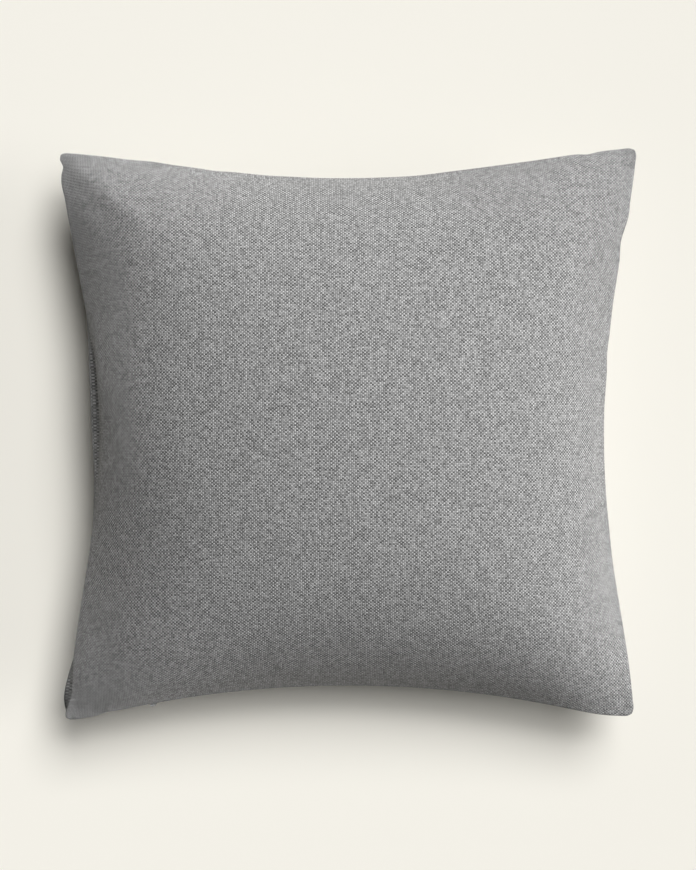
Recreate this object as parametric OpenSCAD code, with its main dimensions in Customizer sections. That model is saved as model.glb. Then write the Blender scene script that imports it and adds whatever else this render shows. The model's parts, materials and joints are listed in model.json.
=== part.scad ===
// Throw pillow lying flat: a square zipped cover over a stuffed insert.
// Millimetres. X runs along the zipped seam, Y across it and Z up.
// The origin is on the surface that the pillow lies on, under its middle.

/* [Pillow] */
// Corner to corner, along the zipped seam
cover_w = 494; // [400:1:620]
// Corner to corner, across the zipped seam
cover_l = 488; // [400:1:620]
// Height of the seam above the surface that the pillow lies on
seam_rise = 76; // [55:1:95]
// Height of the front's crown above the seam
front_crown = 97; // [70:1:130]
// How far the back would bulge below the seam if nothing held it up
back_crown = 87; // [70:1:130]
// How far the two side edges are pulled in at their middle
side_pull_in = 27; // [15:1:40]
// How far the two end edges, the zipped one included, are pulled in
end_pull_in = 25.5; // [15:0.5:40]
// How far the four corners droop below the seam's height
corner_droop = 6; // [0:1:12]

/* [Cover cloth] */
// Thickness of the cover's cloth
cover_cloth = 0.9; // [0.5:0.1:1.5]
// Width of the cover's seam allowance, turned to the inside
cover_flap = 12; // [10:0.5:14]
// Radius of the thread in the cover's seam
seam_thread_r = 0.2; // [0.15:0.05:0.3]
// Radius of the roll of overlocking thread on each cut edge
overlock_r = 0.4; // [0.3:0.05:0.5]

/* [Insert] */
// Distance from the cover's seam in to the insert's seam
insert_inset = 17; // [16:0.5:22]
// Slack between the cover and the insert over the crown
insert_slack = 1.8; // [1.6:0.1:3]
// Thickness of the insert's cloth
insert_cloth = 0.4; // [0.2:0.1:0.8]
// Width of the insert's seam allowance
insert_flap = 8; // [6:0.5:10]
// Slack between the insert's cloth and its fill
fill_slack = 1.8; // [1.6:0.1:3]
// Length of the insert's edge that is sewn shut after stuffing
closing_length = 160; // [100:5:220]

/* [Zip] */
// Distance from a corner of the cover to the zip's end of travel
zip_end_gap = 77; // [60:1:110]
// Gap between the two lips of cloth that hide the zip
lip_gap = 1.6; // [1.4:0.1:2.4]
// Height of each tape's channel above the seam's mid plane
channel_rise = 3.6; // [3.4:0.1:4.5]
// Width of each tape
tape_w = 8.6; // [7:0.1:9]
// Thickness of each tape
tape_t = 0.4; // [0.3:0.05:0.5]
// Size of each coil across the chain
coil_w = 1.45; // [1.2:0.05:1.6]
// Size of each coil through the chain
coil_t = 1.8; // [1.4:0.1:2.2]
// Distance from the cover's seam in to the coils
coil_inset = 3.2; // [3:0.1:4]
// Slot between the coils that the slider's neck runs in
neck_slot = 1.3; // [1.2:0.1:1.6]
// Length of the slider
slider_len = 9; // [7:0.5:12]
// Thickness of the slider's plates
slider_plate = 0.8; // [0.6:0.1:1]
// Running gap between the slider and what it passes
run_gap = 0.35; // [0.3:0.05:0.5]
// Length of the pull tab below its pin
pull_len = 19; // [14:1:30]
// Radius of the pull tab's hinge pin
pin_r = 0.5; // [0.4:0.05:0.6]
// Radial clearance of that pin in the slider's knuckle
pin_gap = 0.05; // [0.03:0.01:0.08]

/* [Labels] */
// Width of the sewn-in labels, along the seam
label_w = 30; // [20:1:50]
// Length of the part of a label that stands up inside the cover
label_rise = 28; // [15:1:32]
// Thickness of a label
label_t = 0.24; // [0.2:0.02:0.4]

/* [Hidden] */

$fn = 48;
linen = [0.60, 0.59, 0.57];
thread_grey = [0.50, 0.49, 0.47];
tape_grey = [0.42, 0.41, 0.40];
calico = [0.93, 0.92, 0.89];
fibre = [0.97, 0.97, 0.96];
nickel = [0.70, 0.70, 0.71];
satin_white = [0.95, 0.95, 0.94];

half_w = cover_w / 2;
half_l = cover_l / 2;

// Zip layout along the seam, as half lengths either side of the middle
zip_half = half_w - zip_end_gap;
coil_end = zip_half + slider_len / 2 + run_gap;
stop_len = 1.6;
stop_end = coil_end + stop_len;
tack_gap = 1;
tack_start = stop_end + tack_gap;
tack_len = 3;
tape_tail = 2;
tape_end = tack_start + tack_len + tape_tail;
stitch_end = tape_end - tape_tail / 2;
zone_half = (tape_end + tape_tail) * half_w / (half_w - cover_flap);
zone_ease = 12;

// Outline of the seam. Each edge is a true arc in its middle and eases out
// to the corner. arc_share sets that arc against one arc right through the
// two corners, and ear_slope is the edge's lean where it meets the corner.
arc_share = 0.77;
ear_slope = 0.05;
side_arc_half = half_l * zone_half / half_w;
zip_arc_r = mid_arc_r(half_w, end_pull_in);
zip_mid_y = end_pull_in - half_l;
zip_centre_y = zip_mid_y - zip_arc_r;

// Shape of the stuffing: a crown that is flat in the middle and steep at the rim
crown_order = 3;
cover_power = 0.8;
insert_power = 0.66;
fill_power = 0.58;
edge_spare = 0.3;

// A layer: seam inset, front crown, back crown, lowest height, edge, power
cover_layer = [0, front_crown, back_crown, 0, 2 * cover_cloth + edge_spare, cover_power];
insert_drop = cover_cloth + insert_slack;
insert_layer = [insert_inset, front_crown - insert_drop, back_crown - insert_drop, insert_drop,
    2 * insert_cloth + edge_spare, insert_power];
fill_drop = insert_drop + insert_cloth + fill_slack;
fill_layer = [insert_inset + insert_flap + 2, front_crown - fill_drop, back_crown - fill_drop,
    fill_drop, edge_spare, fill_power];

// How the cloth turns in at the rim, as distances in from the seam
turn_run = 1.8;
inner_run = 3;

// Thread that wraps or joins the cloth: its gaps, and how deep a tack bites
roll_gap = 0.15;
roll_rise = overlock_r + 0.2;
closing_gap = 0.05;
tack_inset = 0.2;
tack_depth = 1.2;
tack_bite = 1.2;
insert_thread_r = 0.14;

// Grid lines across the pillow, with one pair at the ends of the zip's zone
mid_cells = 12;
end_cells = 3;
cross_cells = 20;
rim_bias = 1.6;
cross_bias = 0.75;
u_zone = zone_half / half_w;
u_ease = (zone_half + zone_ease) / half_w;
u_end = [for (i = [0:end_cells]) 1 - (1 - u_ease) * pow(1 - i / end_cells, rim_bias)];
u_mid = [for (i = [0:mid_cells]) u_zone * (2 * i / mid_cells - 1)];
us = concat([for (i = [end_cells:-1:0]) -u_end[i]], u_mid, u_end);
vs = [for (i = [0:cross_cells]) spread(2 * i / cross_cells - 1)];
last_u = len(us) - 1;
last_v = len(vs) - 1;
rim_cells = concat([for (i = [0:last_u - 1]) [i, 0]], [for (j = [0:last_v - 1]) [last_u, j]],
    [for (i = [last_u:-1:1]) [i, last_v]], [for (j = [last_v:-1:1]) [0, j]]);
rim_count = len(rim_cells);
zone_first = end_cells;
zone_last = last_u - end_cells;
top_first = last_u + last_v;

// Slider and pull, in a section across the zip at the slider
thread_sides = 6;
tape_leg_in = coil_inset + coil_t / 2 - tape_t / 2;
tape_leg_out = tape_leg_in + tape_t;
coil_near = neck_slot / 2;
coil_far = coil_near + coil_w;
seat_gap = 0.1;
tape_low = channel_rise - seat_gap - tape_t;
plate_front = coil_inset - run_gap - slider_plate;
plate_back = coil_inset + coil_t + run_gap;
flange_in = coil_far + run_gap;
flange_t = 0.35;
slider_half_h = flange_in + flange_t;
neck_half = neck_slot / 2 - run_gap;
neck_start = slider_len / 8;
neck_len = slider_len / 3;
lug_half = lip_gap / 2 - run_gap;
knuckle_r = 1.2;
knuckle_len = 2.4;
knuckle_out = 1.5;
ear_gap = 0.3;
ear_t = 0.8;
ear_r = 1;
pull_t = 1;
pull_w = knuckle_len + 2 * (ear_gap + ear_t);
pull_web = 0.5;
pull_top = knuckle_r + pull_web;
pull_hole_r = 1.1;
slider_angle = asin(zip_half / (zip_arc_r + coil_inset + coil_t / 2));

// Labels: how far each starts inside its seam, where it turns up and its lean
label_root = 2;
care_turn = cover_flap + 2.5;
care_lean = 8;
insert_label_turn = insert_inset - 1.5;
insert_label_root = insert_inset + insert_flap - label_root;
insert_label_lean = 5.5;
insert_label_rise = label_rise - 4;

// Rim cells, either side of the middle of the far edge, that are sewn shut by hand
closing_cells = round(closing_length * mid_cells / (4 * u_zone * (half_w - insert_inset)));
closing_first = top_first + last_u / 2 - closing_cells;

function mid_arc_r(half, pull_in) = arc_share * half * half / (2 * pull_in);
function spread(s) = (1 - cross_bias) * s + cross_bias * sin(90 * s);

// Pull-in of an edge at distance s from its middle
function edge_inset(s, half, pull_in, arc_half) =
    let (r = mid_arc_r(half, pull_in), d = abs(s))
    d <= arc_half ? pull_in - r + sqrt(r * r - d * d) : ear_inset(d, half, pull_in, arc_half, r);

// Smooth run from the end of the arc to the corner
function ear_inset(d, half, pull_in, arc_half, r) =
    let (span = half - arc_half, t = (d - arc_half) / span, fall = sqrt(r * r - arc_half * arc_half))
    (pull_in - r + fall) * (2 * pow(t, 3) - 3 * t * t + 1)
    - arc_half / fall * span * (pow(t, 3) - 2 * t * t + t)
    - ear_slope * span * (pow(t, 3) - t * t);

// Plan position at (u, v), each from -1 to 1, on an outline set in by inset
function plan(u, v, inset) = [
    u * (half_w - inset - edge_inset(v * half_l, half_l, side_pull_in, side_arc_half)),
    v * (half_l - inset - edge_inset(u * half_w, half_w, end_pull_in, zone_half))];

function corner_ramp(s) = pow(max(0, (abs(s) - u_ease) / (1 - u_ease)), 2);
function seam_z(u, v) = seam_rise - corner_droop * corner_ramp(u) * corner_ramp(v);
function fullness(u, v, power) =
    pow((1 - pow(abs(u), crown_order)) * (1 - pow(abs(v), crown_order)), power);

// A point on a layer's outside; side is 1 on the front and -1 on the back
function skin(u, v, side, layer) =
    let (p = plan(u, v, layer[0]), crown = side > 0 ? layer[1] : layer[2])
    let (bulge = layer[4] + (crown - layer[4]) * fullness(u, v, layer[5]))
    [p[0], p[1], max(layer[3], seam_z(u, v) + side * bulge)];

// The point a depth below that skin, square to it
function under_skin(u, v, side, layer, depth) =
    let (e = 0.01, along = skin(u + e, v, side, layer) - skin(u - e, v, side, layer))
    let (across = skin(u, v + e, side, layer) - skin(u, v - e, side, layer))
    let (normal = cross(along, across))
    skin(u, v, side, layer) - side * depth * normal / norm(normal);

// A point beside the rim, run in from the layer's seam and rise off its mid plane
function rim_point(u, v, side, layer, run, rise) =
    let (p = plan(u, v, layer[0] + run))
    [p[0], p[1], seam_z(u, v) + side * rise];

function on_rim(i, j) = i == 0 || j == 0 || i == last_u || j == last_v;
function in_zip(i, j) = j == 0 && i > zone_first && i < zone_last;

// Rise of the lip and of the turned-in flap: both lift over the zip
function lip_rise(i, j, zipped) = zipped && in_zip(i, j) ? lip_gap / 2 : 0;
function flap_rise(i, j, zipped) = zipped && in_zip(i, j) ? channel_rise : 0;

function rim_ring(side, layer, run, rises) = [for (k = [0:rim_count - 1])
    rim_point(us[rim_cells[k][0]], vs[rim_cells[k][1]], side, layer, run, rises[k])];

function quad(a, b, c, d) = [[a, b, c], [a, c, d]];
function grid_faces(start) = [for (i = [0:last_u - 1]) for (j = [0:last_v - 1])
    let (a = start + i * (last_v + 1) + j)
    each quad(a, a + 1, a + last_v + 2, a + last_v + 1)];
function strip_faces(from, to) = [for (k = [0:rim_count - 1])
    let (n = (k + 1) % rim_count) each quad(from[k], from[n], to[n], to[k])];
function flip(faces) = [for (f = faces) [f[2], f[1], f[0]]];
function grid_rim(start) = [for (c = rim_cells) start + c[0] * (last_v + 1) + c[1]];
function run_of(start) = [for (k = [0:rim_count - 1]) start + k];

// One cloth panel: the skin, the fold at the rim and the allowance turned inside
module panel(side, layer, cloth, flap, zipped) {
    lips = [for (c = rim_cells) lip_rise(c[0], c[1], zipped)];
    flaps = [for (c = rim_cells) flap_rise(c[0], c[1], zipped)];
    tops = [for (f = flaps) f + cloth];
    outside = [for (i = [0:last_u]) for (j = [0:last_v]) on_rim(i, j)
        ? rim_point(us[i], vs[j], side, layer, 0, lip_rise(i, j, zipped))
        : skin(us[i], vs[j], side, layer)];
    inside = [for (i = [0:last_u]) for (j = [0:last_v]) on_rim(i, j)
        ? rim_point(us[i], vs[j], side, layer, inner_run, flap_rise(i, j, zipped) + cloth)
        : under_skin(us[i], vs[j], side, layer, cloth)];
    points = concat(outside, inside, rim_ring(side, layer, turn_run, flaps),
        rim_ring(side, layer, flap, flaps), rim_ring(side, layer, flap, tops));
    cells = len(outside);
    turn = run_of(2 * cells);
    flap_low = run_of(2 * cells + rim_count);
    flap_high = run_of(2 * cells + 2 * rim_count);
    faces = concat(grid_faces(0), flip(grid_faces(cells)), strip_faces(grid_rim(0), turn),
        strip_faces(turn, flap_low), strip_faces(flap_low, flap_high),
        strip_faces(flap_high, grid_rim(cells)));
    polyhedron(points, side > 0 ? faces : flip(faces));
}

// A solid that fills a layer, front and back
module stuffing(layer, rim_half) {
    points = [for (side = [1, -1]) for (i = [0:last_u]) for (j = [0:last_v]) on_rim(i, j)
        ? rim_point(us[i], vs[j], side, layer, 0, rim_half) : skin(us[i], vs[j], side, layer)];
    cells = len(points) / 2;
    faces = concat(grid_faces(0), flip(grid_faces(cells)),
        strip_faces(grid_rim(0), grid_rim(cells)));
    polyhedron(points, faces);
}

function heading(path, k, closed) =
    let (n = len(path), a = closed ? (k + n - 1) % n : max(0, k - 1))
    let (b = closed ? (k + 1) % n : min(n - 1, k + 1), d = path[b] - path[a])
    d / norm(d);

// A thread swept along a path, either a closed loop or cut off at both ends
module thread(path, r, closed) {
    n = len(path);
    rings = [for (k = [0:n - 1]) let (t = heading(path, k, closed), s = [t[1], -t[0], 0] / norm([t[0], t[1]]))
        for (m = [0:thread_sides - 1]) let (a = 360 * m / thread_sides)
        path[k] + r * cos(a) * s + [0, 0, r * sin(a)]];
    walls = [for (k = [0:closed ? n - 1 : n - 2]) for (m = [0:thread_sides - 1])
        let (q = (m + 1) % thread_sides, a = k * thread_sides, b = ((k + 1) % n) * thread_sides)
        each quad(a + m, a + q, b + q, b + m)];
    first_cap = [[for (m = [thread_sides - 1:-1:0]) m]];
    last_cap = [[for (m = [0:thread_sides - 1]) (n - 1) * thread_sides + m]];
    polyhedron(rings, closed ? walls : concat(walls, first_cap, last_cap));
}

// Rim points in the order that the open seam threads run
function rim_run(layer, run, first, count) = [for (k = [0:count])
    let (c = rim_cells[(first + k) % rim_count])
    rim_point(us[c[0]], vs[c[1]], 1, layer, run, 0)];

// Solid of a section drawn as (distance in from the seam, height), swept
// along the zip's arc between two positions measured along the seam
module along_zip(from, to) {
    start = asin(from / zip_arc_r);
    finish = asin(to / zip_arc_r);
    translate([0, zip_centre_y, seam_rise]) rotate([0, 0, 90 - finish])
        rotate_extrude(angle = finish - start, $fn = 360) translate([zip_arc_r, 0]) children();
}

module box_section(inset, low, size_in, size_up) {
    translate([inset, low]) square([size_in, size_up]);
}

// Mirrors a section or solid to the back side of the seam's mid plane
module on_side(side) {
    mirror([0, side > 0 ? 0 : 1]) children();
}

module overlock(side) {
    rises = [for (c = rim_cells) flap_rise(c[0], c[1], true) + roll_rise];
    thread(rim_ring(side, cover_layer, cover_flap + overlock_r + roll_gap, rises), overlock_r, true);
}

module zip_tape(side) {
    along_zip(-tape_end, tape_end) on_side(side) {
        box_section(tape_leg_in, coil_far, tape_t, tape_low + tape_t - coil_far);
        box_section(tape_leg_in, tape_low, tape_w, tape_t);
    }
}

module zip_coil(side) {
    along_zip(-coil_end, coil_end) on_side(side) box_section(coil_inset, coil_near, coil_t, coil_w);
}

module zip_stitching(side) {
    row = tape_leg_out + tape_w / 2;
    along_zip(-stitch_end, stitch_end) on_side(side)
        translate([row, channel_rise]) circle(r = seam_thread_r);
}

// Places what is drawn at the middle of the zip, at the slider's parking place
module at_slider() {
    translate([0, zip_centre_y, seam_rise]) rotate([0, 0, slider_angle])
        translate([0, zip_arc_r, 0]) children();
}

module centred_box(x_size, y_from, y_size, z_size) {
    translate([-x_size / 2, y_from, -z_size / 2]) cube([x_size, y_size, z_size]);
}

module slider_body() {
    centred_box(slider_len, plate_front, slider_plate, 2 * slider_half_h);
    centred_box(slider_len, plate_back, slider_plate, 2 * slider_half_h);
    for (side = [-1, 1]) {
        centre_z = side * (flange_in + flange_t / 2);
        front_len = tape_leg_in - run_gap - plate_front;
        translate([0, 0, centre_z]) centred_box(slider_len, plate_front, front_len, flange_t);
        back_start = tape_leg_out + run_gap;
        back_len = plate_back + slider_plate - back_start;
        translate([0, 0, centre_z]) centred_box(slider_len, back_start, back_len, flange_t);
    }
    translate([neck_start, plate_front, -neck_half])
        cube([neck_len, plate_back + slider_plate / 2 - plate_front, 2 * neck_half]);
}

module slider_lug() {
    centred_box(knuckle_len, -knuckle_out, plate_front + knuckle_out + slider_plate / 2, 2 * lug_half);
    translate([0, -knuckle_out, 0]) rotate([0, 90, 0])
        cylinder(r = knuckle_r, h = knuckle_len, center = true);
}

module pull_pin() {
    translate([0, -knuckle_out, 0]) rotate([0, 90, 0]) cylinder(r = pin_r, h = pull_w, center = true);
}

module pull_ears() {
    for (side = [-1, 1]) translate([side * (pull_w - ear_t) / 2, -knuckle_out, 0]) {
        rotate([0, 90, 0]) cylinder(r = ear_r, h = ear_t, center = true);
        translate([-ear_t / 2, -pull_t / 2, -pull_top - pull_web])
            cube([ear_t, pull_t, pull_top + pull_web]);
    }
}

module pull_tab() {
    tip_z = pull_w / 2 - pull_len;
    difference() {
        union() {
            translate([-pull_w / 2, -knuckle_out - pull_t / 2, tip_z])
                cube([pull_w, pull_t, -pull_top - tip_z]);
            translate([0, -knuckle_out, tip_z]) rotate([90, 0, 0])
                cylinder(r = pull_w / 2, h = pull_t, center = true);
        }
        translate([0, -knuckle_out, tip_z]) rotate([90, 0, 0])
            cylinder(r = pull_hole_r, h = 2 * pull_t, center = true);
    }
}

// A ribbon of label cloth that follows a path of (run, height) points
module ribbon(path) {
    linear_extrude(height = label_w, center = true) for (k = [0:len(path) - 2]) {
        leg = path[k + 1] - path[k];
        translate(path[k]) rotate(atan2(leg[1], leg[0])) translate([0, -label_t / 2])
            square([norm(leg), label_t]);
        translate(path[k + 1]) circle(r = label_t / 2);
    }
}

// Stands a ribbon in the middle of a side seam: side is -1 at -X and 1 at +X
module in_side_seam(side) {
    translate([side * (half_w - side_pull_in), 0, seam_rise]) mirror([side > 0 ? 1 : 0, 0, 0])
        rotate([90, 0, 0]) children();
}

module cover_front_panel() {
    color(linen) panel(1, cover_layer, cover_cloth, cover_flap, true);
}

module cover_back_panel() {
    color(linen) panel(-1, cover_layer, cover_cloth, cover_flap, true);
}

module cover_seam_thread() {
    color(thread_grey) thread(rim_run(cover_layer, turn_run, zone_last,
        rim_count - zone_last + zone_first), seam_thread_r, false);
}

module cover_front_overlock() {
    color(thread_grey) overlock(1);
}

module cover_back_overlock() {
    color(thread_grey) overlock(-1);
}

module zip_tape_front() {
    color(tape_grey) zip_tape(1);
}

module zip_tape_back() {
    color(tape_grey) zip_tape(-1);
}

module zip_coil_front() {
    color(tape_grey) zip_coil(1);
}

module zip_coil_back() {
    color(tape_grey) zip_coil(-1);
}

module zip_slider() {
    color(nickel) at_slider() difference() {
        union() {
            slider_body();
            slider_lug();
        }
        translate([0, -knuckle_out, 0]) rotate([0, 90, 0])
            cylinder(r = pin_r + pin_gap, h = 2 * knuckle_len, center = true);
    }
}

module zip_pull() {
    color(nickel) at_slider() {
        pull_pin();
        pull_ears();
        pull_tab();
    }
}

module zip_top_stops() {
    color(nickel) for (side = [1, -1]) along_zip(-stop_end, -coil_end) on_side(side)
        box_section(coil_inset, coil_near, coil_t, coil_w);
}

module zip_bottom_stop() {
    color(nickel) along_zip(coil_end, stop_end)
        box_section(coil_inset, -coil_far, coil_t, 2 * coil_far);
}

module zip_stitching_front() {
    color(thread_grey) zip_stitching(1);
}

module zip_stitching_back() {
    color(thread_grey) zip_stitching(-1);
}

// Dense stitching that joins the two lips at each end of the opening
module zip_bar_tacks() {
    color(thread_grey) for (start = [-tack_start - tack_len, tack_start])
        along_zip(start, start + tack_len)
            box_section(tack_inset, -lip_gap / 2 - tack_bite, tack_depth, lip_gap + 2 * tack_bite);
}

module care_label() {
    color(satin_white) in_side_seam(-1)
        ribbon([[label_root, 0], [care_turn, 0], [care_turn + care_lean, label_rise]]);
}

module insert_front_panel() {
    color(calico) panel(1, insert_layer, insert_cloth, insert_flap, false);
}

module insert_back_panel() {
    color(calico) panel(-1, insert_layer, insert_cloth, insert_flap, false);
}

module insert_seam_thread() {
    color(calico) thread(rim_run(insert_layer, turn_run, closing_first + 2 * closing_cells,
        rim_count - 2 * closing_cells), insert_thread_r, false);
}

module insert_closing_thread() {
    color(thread_grey) thread(rim_run(insert_layer, -seam_thread_r - closing_gap, closing_first,
        2 * closing_cells), seam_thread_r, false);
}

module insert_label() {
    color(satin_white) in_side_seam(1) ribbon([[insert_label_root, 0], [insert_label_turn, 0],
        [insert_label_turn + insert_label_lean, insert_label_rise]]);
}

module fill() {
    color(fibre) stuffing(fill_layer, edge_spare / 2);
}

cover_front_panel();
cover_back_panel();
cover_seam_thread();
cover_front_overlock();
cover_back_overlock();
zip_tape_front();
zip_tape_back();
zip_coil_front();
zip_coil_back();
zip_slider();
zip_pull();
zip_top_stops();
zip_bottom_stop();
zip_stitching_front();
zip_stitching_back();
zip_bar_tacks();
care_label();
insert_front_panel();
insert_back_panel();
insert_seam_thread();
insert_closing_thread();
insert_label();
fill();
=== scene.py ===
# %% [markdown]
# # A throw pillow, from its sewn cover to its zip
# This lesson dresses the imported CAD model of a square pillow.

# %% Load the frame
import json
import math

import bmesh
import bpy
import numpy as np
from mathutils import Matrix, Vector, noise

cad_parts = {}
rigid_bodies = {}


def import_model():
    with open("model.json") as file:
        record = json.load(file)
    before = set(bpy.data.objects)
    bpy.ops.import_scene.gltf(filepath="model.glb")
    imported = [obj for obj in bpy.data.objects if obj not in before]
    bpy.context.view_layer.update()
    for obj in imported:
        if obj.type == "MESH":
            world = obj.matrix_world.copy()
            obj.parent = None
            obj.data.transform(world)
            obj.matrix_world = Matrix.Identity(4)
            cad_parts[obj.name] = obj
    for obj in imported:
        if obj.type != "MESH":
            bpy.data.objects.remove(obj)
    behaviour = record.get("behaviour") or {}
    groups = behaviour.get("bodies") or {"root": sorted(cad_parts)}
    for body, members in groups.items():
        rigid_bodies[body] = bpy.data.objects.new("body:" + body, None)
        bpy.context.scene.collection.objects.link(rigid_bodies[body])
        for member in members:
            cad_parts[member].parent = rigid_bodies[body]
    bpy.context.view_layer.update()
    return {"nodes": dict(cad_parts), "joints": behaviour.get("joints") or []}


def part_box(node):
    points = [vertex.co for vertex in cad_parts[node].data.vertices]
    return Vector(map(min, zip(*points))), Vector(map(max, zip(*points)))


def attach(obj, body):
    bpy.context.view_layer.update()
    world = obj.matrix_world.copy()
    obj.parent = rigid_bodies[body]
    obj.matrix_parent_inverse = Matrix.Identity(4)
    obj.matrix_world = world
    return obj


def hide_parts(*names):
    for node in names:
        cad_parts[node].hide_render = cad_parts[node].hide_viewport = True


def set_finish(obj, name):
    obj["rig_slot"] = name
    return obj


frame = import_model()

print("nodes in the frame:", len(frame["nodes"]))

# %% [markdown]
# ## The camera
# The pillow lies flat and is looked at from straight above. A camera that
# points down needs no turning at all in Blender, because a camera looks along
# its own -Z axis. A long lens keeps the rounded sides from leaning outwards.

# %% Put the camera above the pillow
SEAM_Z = 0.076
CAMERA_Y, CAMERA_Z = -0.0017, 2.2

camera_data = bpy.data.cameras.new("camera")
camera_data.lens = 101.5
camera_data.sensor_width = 36
camera = bpy.data.objects.new("camera", camera_data)
camera.location = (0.0, CAMERA_Y, CAMERA_Z)
bpy.context.scene.collection.objects.link(camera)
bpy.context.scene.camera = camera
print("camera stands", round(CAMERA_Z - SEAM_Z, 3), "m above the seam")

# %% [markdown]
# ## Small helpers for arrays and meshes
# Nearly every piece here is a grid, a ribbon or a tube. Each is worked out as
# an array of points first and becomes a mesh in one call, which is quicker
# and easier to check than adding vertices one by one.


# %% Helpers for points and meshes
def smooth(a, b, x):
    t = np.clip((np.asarray(x, float) - a) / (b - a), 0, 1)
    return t * t * (3 - 2 * t)


def unit(v):
    return v / np.maximum(np.linalg.norm(v, axis=-1, keepdims=True), 1e-12)


def make_piece(name, points, faces, body="cushion", shade_smooth=True):
    mesh = bpy.data.meshes.new(name)
    mesh.from_pydata([tuple(p) for p in np.asarray(points, float)], [], faces)
    mesh.validate()
    mesh.polygons.foreach_set("use_smooth", [shade_smooth] * len(mesh.polygons))
    mesh.update()
    piece = bpy.data.objects.new(name, mesh)
    bpy.context.scene.collection.objects.link(piece)
    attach(piece, body)
    return piece


def add_vectors(piece, name, values):
    layer = piece.data.attributes.new(name, "FLOAT_VECTOR", "POINT")
    layer.data.foreach_set("vector", np.asarray(values, np.float32).ravel())


def strip_faces(a, b, closed=True):
    n = len(a)
    return [
        (int(a[k]), int(a[(k + 1) % n]), int(b[(k + 1) % n]), int(b[k]))
        for k in range(n if closed else n - 1)
    ]


def grid_quads(index):
    quads = np.stack([index[:-1, :-1], index[1:, :-1], index[1:, 1:], index[:-1, 1:]], -1)
    return [tuple(q) for q in quads.reshape(-1, 4).tolist()]


# %% A tube swept along a path
def tube(path, radius, sides=6, closed=False, up=(0, 0, 1)):
    path = np.asarray(path, float)
    if closed:
        along = unit(np.roll(path, -1, 0) - np.roll(path, 1, 0))
    else:
        along = unit(np.gradient(path, axis=0))
    side = unit(np.cross(along, np.asarray(up, float)))
    lift = np.cross(side, along)
    radius = np.broadcast_to(np.asarray(radius, float), (len(path),))
    turn = np.arange(sides) * 2 * np.pi / sides
    rings = (
        path[:, None]
        + radius[:, None, None] * np.cos(turn)[None, :, None] * side[:, None]
        + radius[:, None, None] * np.sin(turn)[None, :, None] * lift[:, None]
    )
    index = np.arange(len(path) * sides).reshape(len(path), sides)
    faces = []
    for k in range(len(path) if closed else len(path) - 1):
        faces += strip_faces(index[k], index[(k + 1) % len(path)])
    if not closed:
        faces += [tuple(index[0][::-1].tolist()), tuple(index[-1].tolist())]
    return rings.reshape(-1, 3), faces


def join_parts(parts):
    points, faces, start = [], [], 0
    for p, f in parts:
        points.append(p)
        faces += [tuple(i + start for i in face) for face in f]
        start += len(p)
    return np.concatenate(points), faces


# %% [markdown]
# ## The seam's path
# A stuffed square never keeps straight sides: the filling lifts the middle of
# each panel and draws the edges in, while the corners stay out as small
# rounded ears. The four corners and the four pull-ins are named below. The
# zipped edge keeps to the true arc that the slider travels on, which is read
# from the zip's joint. On the left the seam has rolled up and in a little, so
# that a sliver of the back panel shows beyond it.

# %% Corners, pull-ins and the zip's arc
CORNERS = {
    "far_left": (-0.2518, 0.2434),
    "far_right": (0.2506, 0.2478),
    "near_right": (0.2488, -0.2450),
    "near_left": (-0.2474, -0.2488),
}
# Half the CAD model's width and length
HALF_X, HALF_Y = 0.247, 0.244
PULL_LEFT, PULL_RIGHT, PULL_FAR = 0.0318, 0.0282, 0.0248
CORNER_DROOP = 0.006
CORNER_ROUND = 0.0072

travel = next(j for j in frame["joints"] if j["name"] == "zip_travel")
ARC_Y = travel["pos_m"][1]
ARC_R = 0.921116
ZONE = 0.1939
tape_low_corner, tape_high_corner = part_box("zip_tape_front")
print("zip arc centre y", ARC_Y, "tape spans x", tape_low_corner[0], tape_high_corner[0])


def zip_edge_y(x, corner_x, corner_y):
    x = np.abs(x)
    corner_x = abs(corner_x)
    end_y = ARC_Y + math.sqrt(ARC_R**2 - ZONE**2)
    slope = -ZONE / math.sqrt(ARC_R**2 - ZONE**2)
    span = corner_x - ZONE
    t = np.clip((x - ZONE) / span, 0, 1)
    ease = (
        end_y * (2 * t**3 - 3 * t**2 + 1)
        + slope * span * (t**3 - 2 * t**2 + t)
        + corner_y * (3 * t**2 - 2 * t**3)
        + 0.05 * span * (t**3 - t**2)
    )
    return np.where(x <= ZONE, ARC_Y + np.sqrt(np.maximum(ARC_R**2 - x**2, 0)), ease)


# %% Where a point of the flat square lands inside the outline
def draw_in(t, pull):
    return pull * np.cos(np.pi / 2 * np.clip(t, -1, 1)) ** 1.25


def plan(u, v):
    u, v = np.asarray(u, float), np.asarray(v, float)
    c = {k: np.array(p) for k, p in CORNERS.items()}
    a, b = (u + 1) / 2, (v + 1) / 2
    left_x = c["near_left"][0] * (1 - b) + c["far_left"][0] * b + draw_in(v, PULL_LEFT)
    right_x = c["near_right"][0] * (1 - b) + c["far_right"][0] * b - draw_in(v, PULL_RIGHT)
    far_y = c["far_left"][1] * (1 - a) + c["far_right"][1] * a - draw_in(u, PULL_FAR)
    near_x = c["near_left"][0] * (1 - a) + c["near_right"][0] * a
    near_y = np.where(
        near_x < 0,
        zip_edge_y(near_x, c["near_left"][0], c["near_left"][1]),
        zip_edge_y(near_x, c["near_right"][0], c["near_right"][1]),
    )
    return left_x * (1 - a) + right_x * a, near_y * (1 - b) + far_y * b


# %% Small unevenness of the sewn edge
def wobble(s, seed):
    out = np.zeros_like(s)
    for k, (waves, size) in enumerate(((5, 1.0), (9, 0.8), (14, 0.7), (23, 0.45), (37, 0.25))):
        out += size * np.sin(waves * s + 1.7 * seed + 2.3 * k * (seed + 1))
    return out / 2.2


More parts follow.
